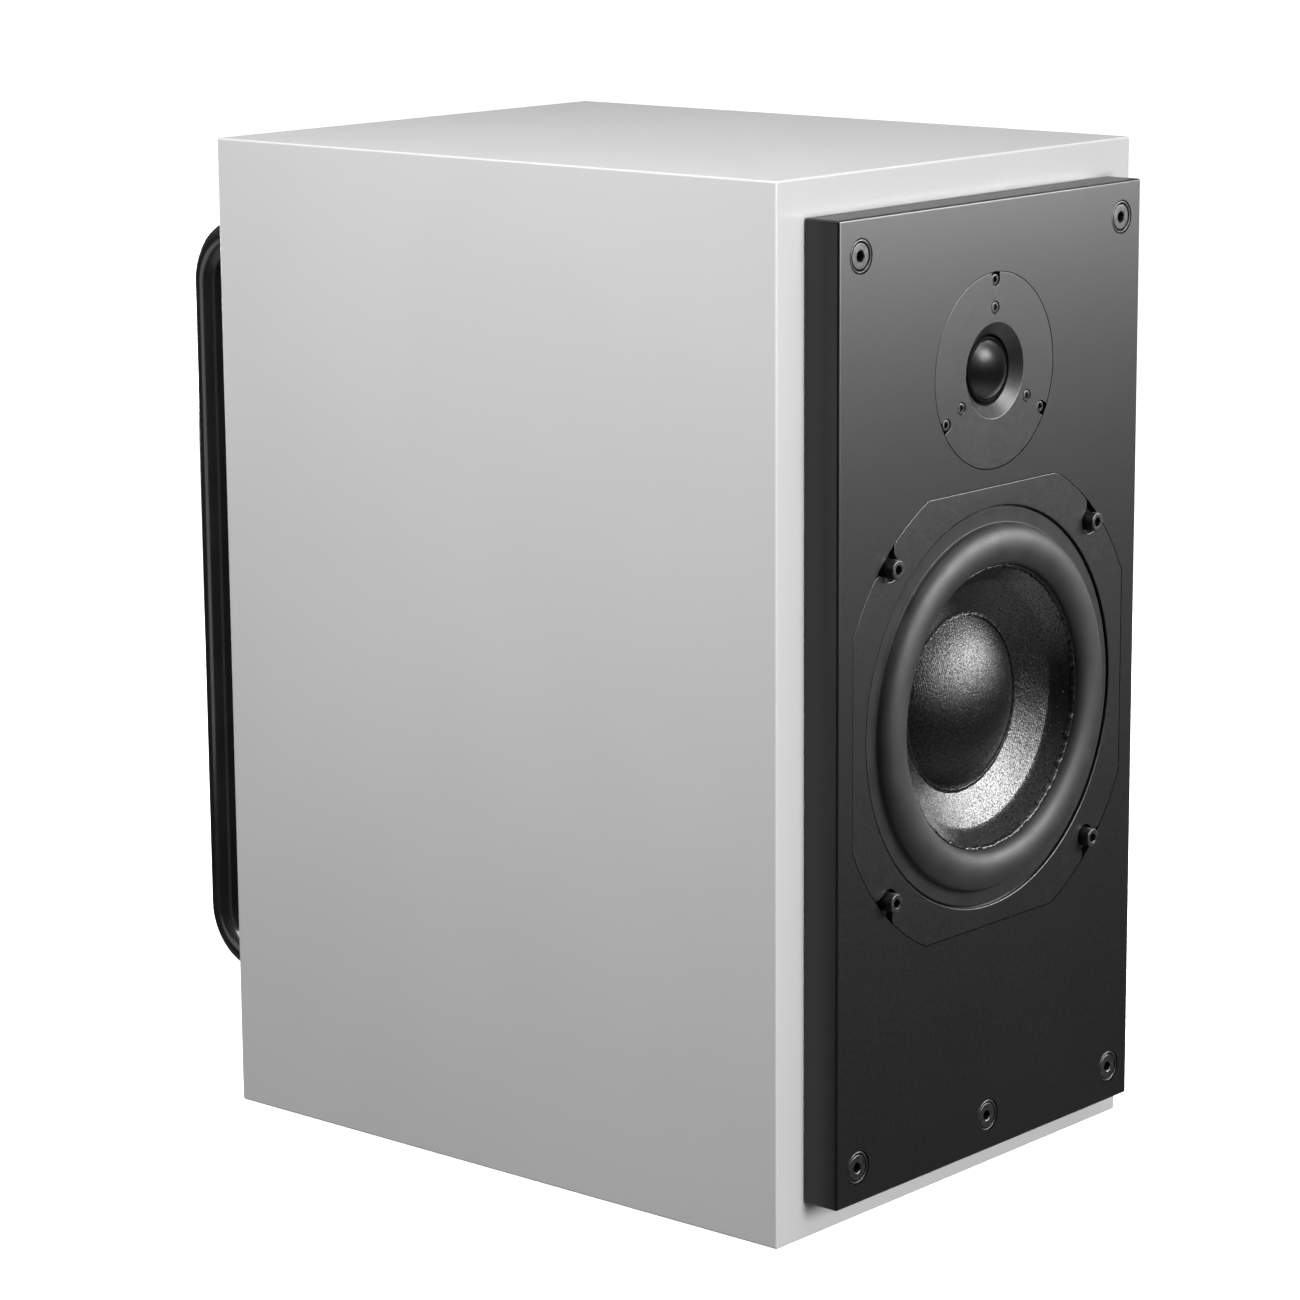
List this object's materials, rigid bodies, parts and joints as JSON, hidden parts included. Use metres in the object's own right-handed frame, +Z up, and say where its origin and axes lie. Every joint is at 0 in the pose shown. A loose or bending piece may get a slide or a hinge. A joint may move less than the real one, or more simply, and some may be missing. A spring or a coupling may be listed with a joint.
{
  "type": "bookshelf speaker",
  "caption": "Upright box loudspeaker: white cabinet, proud black baffle with dome tweeter over coned woofer, rear amplifier panel with heat sink and tube handles.",
  "frame": {"origin": "centre of the cabinet's underside, on the surface that it stands on", "axes": "+Z up, the drivers face -Y, +X to the right seen from the front"},
  "size_m": [0.246, 0.3862, 0.446],
  "materials": {
    "white_paint": "white satin lacquer on board",
    "black_paint": "black satin lacquer on board",
    "bare_board": "bare fibreboard",
    "cast_black": "cast, fine black powder coat",
    "foam": "open-cell foam",
    "rubber": "moulded, satin",
    "doped_cloth": "woven, doped, speckled gloss",
    "spider_cloth": "woven, resin-stiffened",
    "black_steel": "black oxide",
    "bare_steel": "machined, zinc plated",
    "ferrite": "sintered, matt",
    "copper": "enamelled copper wire",
    "panel_black": "sheet, black powder coat",
    "black_anodised": "extruded, black anodised",
    "handle_black": "tube, black gloss paint",
    "black_plastic": "moulded, fine texture",
    "circuit_green": "solder mask on laminate",
    "capacitor_sleeve": "can in a shrunk sleeve"
  },
  "bodies": {
    "cabinet": {"cabinet_shell": "white_paint", "cabinet_brace": "bare_board", "damping_lining": "foam", "front_baffle": "black_paint", "baffle_screw_1": "black_steel", "baffle_screw_2": "black_steel", "baffle_screw_3": "black_steel", "baffle_screw_4": "black_steel", "baffle_screw_5": "black_steel", "woofer_basket": "cast_black", "woofer_gasket": "rubber", "woofer_screw_1": "black_steel", "woofer_screw_2": "black_steel", "woofer_screw_3": "black_steel", "woofer_screw_4": "black_steel", "woofer_pot": "bare_steel", "woofer_magnet": "ferrite", "woofer_pole_plate": "bare_steel", "woofer_surround": "rubber", "woofer_spider": "spider_cloth", "tweeter_faceplate": "cast_black", "tweeter_screw_1": "black_steel", "tweeter_screw_2": "black_steel", "tweeter_screw_3": "black_steel", "tweeter_clamp_screw_1": "black_steel", "tweeter_clamp_screw_2": "black_steel", "tweeter_clamp_screw_3": "black_steel", "tweeter_front_plate": "bare_steel", "tweeter_magnet": "ferrite", "tweeter_yoke": "bare_steel", "tweeter_surround": "doped_cloth", "amp_panel": "panel_black", "heat_sink": "black_anodised", "handle_left": "handle_black", "handle_right": "handle_black", "handle_bolt_left_1": "black_steel", "handle_bolt_left_2": "black_steel", "handle_bolt_right_1": "black_steel", "handle_bolt_right_2": "black_steel", "panel_screw_1": "black_steel", "panel_screw_2": "black_steel", "panel_screw_3": "black_steel", "panel_screw_4": "black_steel", "transformer": "copper", "transformer_clamp": "bare_steel", "circuit_board": "circuit_green", "reservoir_capacitor_1": "capacitor_sleeve", "reservoir_capacitor_2": "capacitor_sleeve", "mains_inlet": "black_plastic", "signal_socket": "black_plastic", "mains_switch": "black_plastic", "level_pot": "bare_steel"},
    "woofer_cone_assembly": {"woofer_cone": "doped_cloth", "woofer_dome": "doped_cloth", "woofer_voice_coil": "copper"},
    "tweeter_dome_assembly": {"tweeter_dome": "doped_cloth", "tweeter_voice_coil": "copper"},
    "rocker": {"mains_rocker": "black_plastic"},
    "knob": {"level_knob": "black_plastic"},
    "drawer": {"fuse_drawer": "black_plastic"}
  },
  "joints": [
    {"name": "woofer_stroke", "type": "slide", "parent": "cabinet", "child": "woofer_cone_assembly", "axis": [0, -1, 0], "range_m": [-0.005, 0.005], "stiffness_N_per_m": 1500, "deforming": ["woofer_surround", "woofer_spider"]},
    {"name": "tweeter_stroke", "type": "slide", "parent": "cabinet", "child": "tweeter_dome_assembly", "axis": [0, -1, 0], "range_m": [-0.0005, 0.0005], "stiffness_N_per_m": 2000, "deforming": ["tweeter_surround"]},
    {"name": "rocker_tilt", "type": "hinge", "parent": "cabinet", "child": "rocker", "pos_m": [-0.012, 0.1648, 0.08], "axis": [-1, 0, 0], "range_deg": [0, 20]},
    {"name": "knob_turn", "type": "hinge", "parent": "cabinet", "child": "knob", "pos_m": [-0.045, 0.1636, 0.135], "axis": [0, 1, 0], "range_deg": [-150, 150]},
    {"name": "drawer_slide", "type": "slide", "parent": "cabinet", "child": "drawer", "axis": [0, 1, 0], "range_m": [0, 0.018]}
  ]
}
